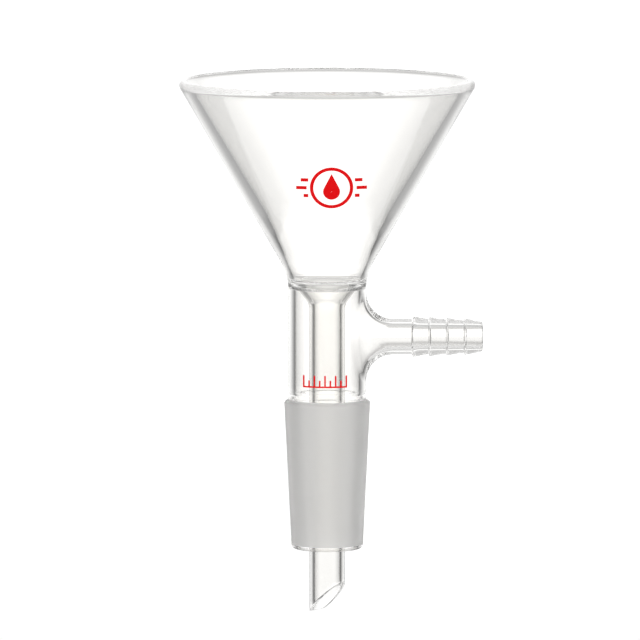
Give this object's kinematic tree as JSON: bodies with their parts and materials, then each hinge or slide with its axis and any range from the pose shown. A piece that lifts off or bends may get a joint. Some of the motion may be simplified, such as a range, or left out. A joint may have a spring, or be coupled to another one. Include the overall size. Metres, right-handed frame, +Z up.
{
  "type": "vacuum filter funnel with ground joint",
  "caption": "Clear glass filter funnel with a 24/40 ground male joint, a vacuum jacket with a serrated side arm, and an inner drip stem with a slanted tip.",
  "frame": {"origin": "centre of the ground joint's gauge plane, where its taper is 24 mm across, on the funnel's axis", "axes": "+Z runs up the axis to the bowl's rim, +X runs out along the side arm, and -Y is the side that carries the printed emblem"},
  "size_m": [0.0849, 0.0828, 0.1495],
  "materials": {
    "clear_glass": "polished, clear borosilicate",
    "ground_glass": "matte, ground",
    "red_print": "fired ceramic ink, satin"
  },
  "bodies": {
    "root": {"bowl": "clear_glass", "ring_seal": "clear_glass", "drip_stem": "clear_glass", "vacuum_jacket": "clear_glass", "side_arm": "clear_glass", "hose_connection": "clear_glass", "ground_joint": "ground_glass", "bowl_emblem": "red_print", "scale_mark": "red_print"}
  },
  "joints": []
}
